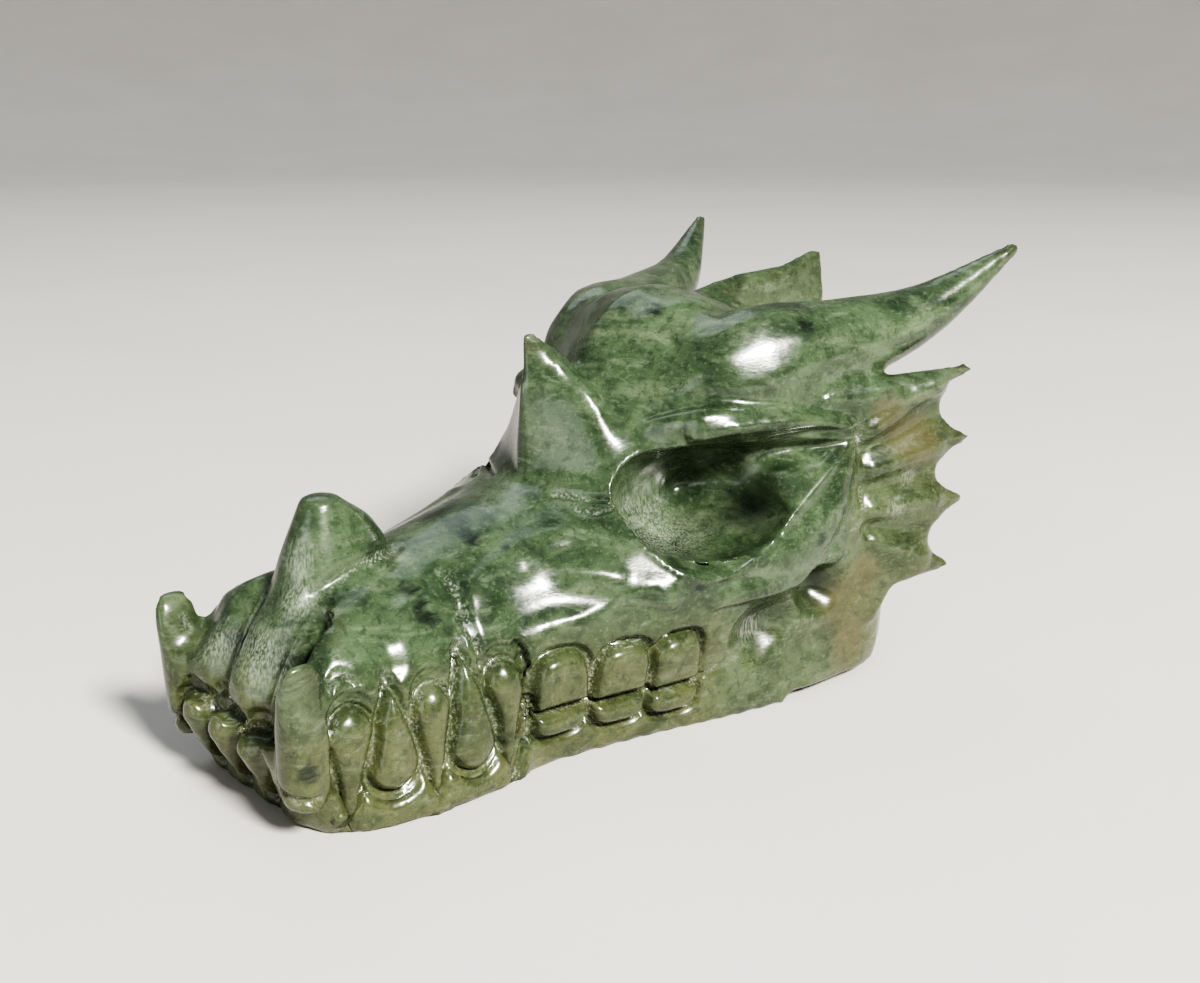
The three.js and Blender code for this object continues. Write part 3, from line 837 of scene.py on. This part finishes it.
# How thin the stone is at each place, which sets the painted amber glow.
keep_layer("painted_thin_glow", (1 - thickness(at, outward(), surface_of(stone), THIN) / THIN) ** PAINTED_GLOW_FADE)
keep_layer("scratched", scratched)
for name, marked in (("sanded_and_painted_sheen", SANDED_AND_PAINTED_SHEEN_PLACES), ("painted_shade", PAINTED_SHADE_PLACES), ("dark", DARK_SPOTS),
                     ("brown", BROWN_PLACES)):
    keep_layer(name, sum(within(at, middle, reach) for middle, reach in marked))
jaw_olive = np.maximum(rise(at[:, 0], OLIVE_JAW_BACK, -OLIVE_JAW_RUN), OLIVE_JAW_LEAST)
frill_olive = np.minimum(rise(at[:, 0], OLIVE_FRILL_FROM, OLIVE_FADE), OLIVE_FRILL_MOST)
keep_layer("olive", jaw_olive * rise(at[:, 2], OLIVE_JAW_TOP, -OLIVE_FADE)
           + frill_olive * rise(at[:, 2], OLIVE_FRILL_TOP, -OLIVE_FADE))

stone.materials.clear()
stone.materials.append(jade)
stone.shade_smooth()
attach(skull, "root")
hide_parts("dragon_skull")

# The floor: a plain pale matt sheet that lies flat under the carving and curves up all round into a low wall,
# so that it shows no near edge. The floor and the lamps are in metres.
FLOOR_PALE = (0.60, 0.58, 0.55, 1)
FLOOR_WORN = (0.64, 0.62, 0.59, 1)
FLOOR_ROUGH = 0.75
FLOOR_FLAT = 1.4
FLOOR_CURVE = 2.0
WALL_TOP = 2.4
CURVE_STEPS = 24
SPIN_STEPS = 72

sheet = bmesh.new()
profile = [sheet.verts.new((0, 0, 0))]
for step in range(CURVE_STEPS + 1):
    turn = math.pi / 2 * step / CURVE_STEPS
    profile.append(sheet.verts.new((FLOOR_FLAT + FLOOR_CURVE * math.sin(turn), 0,
                                    FLOOR_CURVE * (1 - math.cos(turn)))))
profile.append(sheet.verts.new((FLOOR_FLAT + FLOOR_CURVE, 0, WALL_TOP)))
profile_edges = [sheet.edges.new(pair) for pair in zip(profile, profile[1:])]
bmesh.ops.spin(sheet, geom=profile + profile_edges, cent=(0, 0, 0), axis=(0, 0, 1), angle=2 * math.pi,
               steps=SPIN_STEPS, use_merge=True)
bmesh.ops.remove_doubles(sheet, verts=sheet.verts, dist=MM)
bmesh.ops.recalc_face_normals(sheet, faces=sheet.faces)
floor_mesh = bpy.data.meshes.new("floor")
sheet.to_mesh(floor_mesh)
sheet.free()
floor_mesh.shade_smooth()
floor = bpy.data.objects.new("floor", floor_mesh)
bpy.context.scene.collection.objects.link(floor)

matt = bpy.data.materials.new("pale_floor")
matt.use_nodes = True
matt.node_tree.nodes.clear()
floor_tone = Tone(matt.node_tree)
worn = floor_tone.node("ShaderNodeTexCoord", out="Object").noise(scale=9, detail=4).between(0.2, 0.8)
plain = floor_tone.node("ShaderNodeBsdfPrincipled", {}, {
    "Base Color": worn.over(FLOOR_PALE, FLOOR_WORN), "Roughness": FLOOR_ROUGH})
floor_tone.node("ShaderNodeOutputMaterial", {}, {"Surface": plain})
floor_mesh.materials.append(matt)

# The light of a small studio: one soft key lamp to the right of the camera and above it, a broad weak panel
# over the far side, a weak fill ahead of the snout, and a dim even room.
LIGHTS = {
    "key": {"at": (-0.20, -1.33, 1.10), "size": 0.36, "power": 62.0, "colour": (1.0, 0.97, 0.92)},
    "panel": {"at": (0.35, 0.95, 1.5), "size": 1.3, "power": 5.0, "colour": (0.86, 0.94, 1.0)},
    "fill": {"at": (-1.35, -0.25, 0.40), "size": 0.9, "power": 3.5, "colour": (0.93, 0.97, 1.0)},
}
LIT_MIDDLE = Vector((0.0, 0.0, 0.03))
ROOM_COLOUR = (0.80, 0.84, 0.88, 1)
ROOM_STRENGTH = 0.28

for name, light in LIGHTS.items():
    lamp = bpy.data.lights.new(name, "AREA")
    lamp.shape = "DISK"
    lamp.size = light["size"]
    lamp.energy = light["power"]
    lamp.color = light["colour"]
    holder = bpy.data.objects.new(name, lamp)
    bpy.context.scene.collection.objects.link(holder)
    holder.location = light["at"]
    holder.rotation_euler = (LIT_MIDDLE - Vector(light["at"])).to_track_quat("-Z", "Y").to_euler()

bpy.context.scene.view_settings.look = "AgX - Very High Contrast"
room = bpy.data.worlds.new("room")
bpy.context.scene.world = room
room.use_nodes = True
room.node_tree.nodes["Background"].inputs["Color"].default_value = ROOM_COLOUR
room.node_tree.nodes["Background"].inputs["Strength"].default_value = ROOM_STRENGTH
